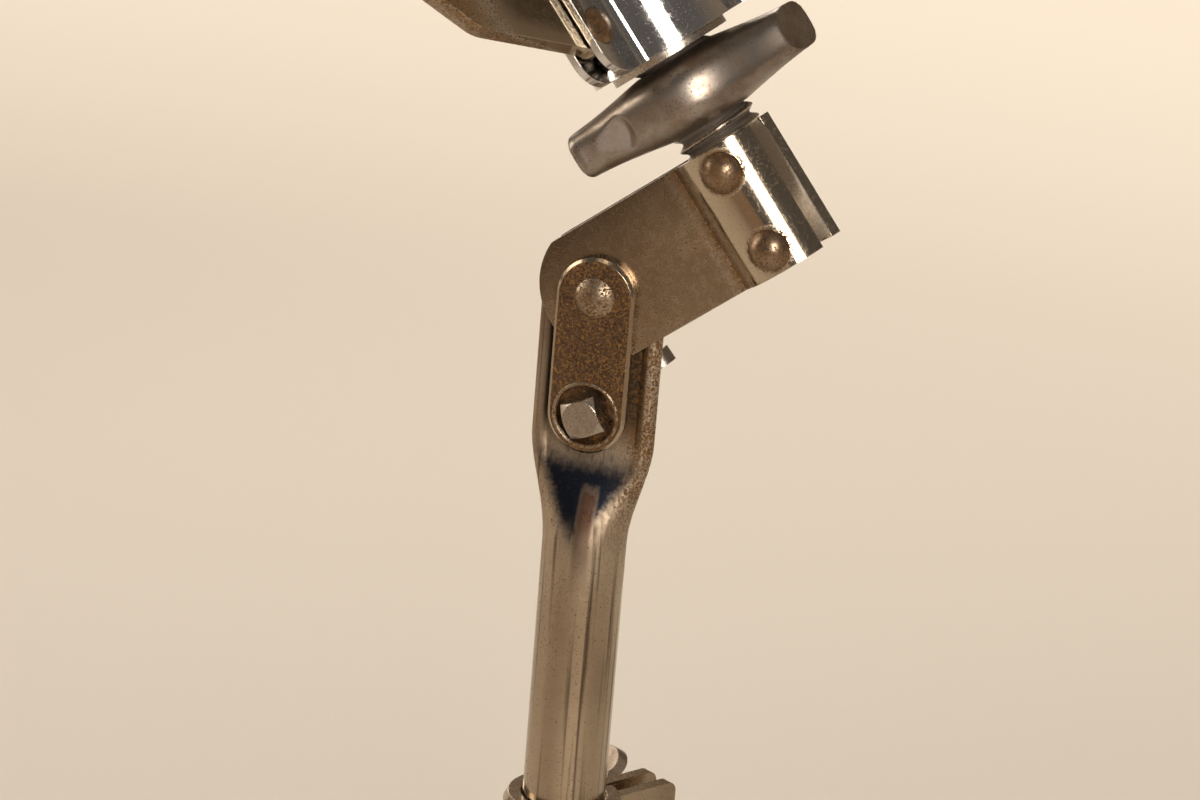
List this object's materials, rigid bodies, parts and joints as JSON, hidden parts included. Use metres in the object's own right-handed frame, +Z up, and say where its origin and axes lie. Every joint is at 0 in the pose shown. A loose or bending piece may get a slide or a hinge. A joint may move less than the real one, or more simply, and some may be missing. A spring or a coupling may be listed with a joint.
{
  "type": "snare drum stand",
  "caption": "Folding snare drum stand: a padded basket closed by a cast wing nut, on a riveted tilting bracket, a sliding height tube and a flat folding tripod.",
  "frame": {"origin": "on the height tube's axis, at floor level", "axes": "+Z up along the tubes, +X the way the tilting bracket reaches, -Y the side of the square bolt head"},
  "size_m": [0.4418, 0.3837, 0.7529],
  "materials": {
    "nickel_plate": "tarnished plate",
    "pitted_plate": "pitted plate",
    "bright_chrome": "bright plate",
    "brown_rivet": "browned steel",
    "bright_steel": "machined steel",
    "cast_metal": "dull cast",
    "rubber": "matt moulded"
  },
  "bodies": {
    "base": {"base_tube": "nickel_plate", "base_hub": "nickel_plate", "leg_pins": "brown_rivet"},
    "clamp": {"height_clamp": "nickel_plate", "clamp_bolt": "bright_steel", "clamp_washer": "bright_steel"},
    "clamp_nut": {"clamp_wing_nut": "bright_steel"},
    "mast": {"height_tube": "nickel_plate", "near_link_plate": "pitted_plate", "far_link_plate": "pitted_plate", "pivot_rivet": "brown_rivet", "tilt_bolt": "bright_steel", "tilt_washer": "bright_steel"},
    "tilt_nut": {"tilt_wing_nut": "bright_steel"},
    "bracket": {"near_bracket_cheek": "nickel_plate", "far_bracket_cheek": "nickel_plate", "bracket_rivets": "brown_rivet", "threaded_post": "bright_steel", "post_cap": "nickel_plate"},
    "thrust": {"thrust_washer": "bright_steel"},
    "basket_nut": {"basket_wing_nut": "cast_metal"},
    "hub": {"hub_floor": "bright_chrome", "hub_panel_1": "bright_chrome", "hub_panel_2": "bright_chrome", "hub_panel_3": "bright_chrome", "arm_rivets": "brown_rivet"},
    "arm_1": {"basket_arm_1": "nickel_plate", "arm_pad_1": "rubber"},
    "arm_2": {"basket_arm_2": "nickel_plate", "arm_pad_2": "rubber"},
    "arm_3": {"basket_arm_3": "nickel_plate", "arm_pad_3": "rubber"},
    "leg_1": {"leg_1": "nickel_plate", "foot_1": "rubber"},
    "leg_2": {"leg_2": "nickel_plate", "foot_2": "rubber"},
    "leg_3": {"leg_3": "nickel_plate", "foot_3": "rubber"}
  },
  "joints": [
    {"name": "height_swivel", "type": "hinge", "parent": "base", "child": "clamp", "pos_m": [0, 0, 0], "axis": [0, 0, 1], "continuous": true},
    {"name": "height_slide", "type": "slide", "parent": "clamp", "child": "mast", "axis": [0, 0, 1], "range_m": [-0.04, 0.18]},
    {"name": "clamp_nut_turn", "type": "hinge", "parent": "clamp", "child": "clamp_nut", "pos_m": [0.01038, 0.01661, 0.366], "axis": [-0.848, 0.5299, 0], "continuous": true},
    {"name": "tilt", "type": "hinge", "parent": "mast", "child": "bracket", "pos_m": [0, 0, 0.48], "axis": [0, 1, 0], "range_deg": [-37, 63]},
    {"name": "tilt_nut_turn", "type": "hinge", "parent": "mast", "child": "tilt_nut", "pos_m": [0, 0, 0.4574], "axis": [0, 1, 0], "continuous": true},
    {"name": "basket_slide", "type": "slide", "parent": "bracket", "child": "thrust", "axis": [-0.6157, 0, 0.788], "range_m": [-0.003, 0.003]},
    {"name": "basket_nut_turn", "type": "hinge", "parent": "thrust", "child": "basket_nut", "pos_m": [0.01775, 0, 0.5143], "axis": [-0.6157, 0, 0.788], "range_deg": [-469, 469]},
    {"name": "basket_swivel", "type": "hinge", "parent": "thrust", "child": "hub", "pos_m": [0.01775, 0, 0.5143], "axis": [-0.6157, 0, 0.788], "continuous": true},
    {"name": "arm_swing_1", "type": "hinge", "parent": "hub", "child": "arm_1", "pos_m": [-0.00139, -0.02015, 0.53183], "axis": [-0.7708, 0.2079, -0.6022], "range_deg": [-22, 22]},
    {"name": "arm_swing_2", "type": "hinge", "parent": "hub", "child": "arm_2", "pos_m": [0.01742, 0.00637, 0.54653], "axis": [0.2435, -0.9511, 0.1902], "range_deg": [-22, 22]},
    {"name": "arm_swing_3", "type": "hinge", "parent": "hub", "child": "arm_3", "pos_m": [-0.01008, 0.01378, 0.52504], "axis": [0.5273, 0.7431, 0.412], "range_deg": [-22, 22]},
    {"name": "leg_fold_1", "type": "hinge", "parent": "base", "child": "leg_1", "pos_m": [0.02079, 0.012, 0.034], "axis": [0.5, -0.866, 0], "range_deg": [0, 92]},
    {"name": "leg_fold_2", "type": "hinge", "parent": "base", "child": "leg_2", "pos_m": [-0.02079, 0.012, 0.034], "axis": [0.5, 0.866, 0], "range_deg": [0, 92]},
    {"name": "leg_fold_3", "type": "hinge", "parent": "base", "child": "leg_3", "pos_m": [0, -0.024, 0.034], "axis": [-1, 0, 0], "range_deg": [0, 92]}
  ],
  "couplings": [
    {"joint": "basket_nut_turn", "follows": "basket_slide", "rad_per_m": 2720},
    {"joint": "arm_swing_1", "follows": "basket_slide", "rad_per_m": 125},
    {"joint": "arm_swing_2", "follows": "basket_slide", "rad_per_m": 125},
    {"joint": "arm_swing_3", "follows": "basket_slide", "rad_per_m": 125}
  ]
}
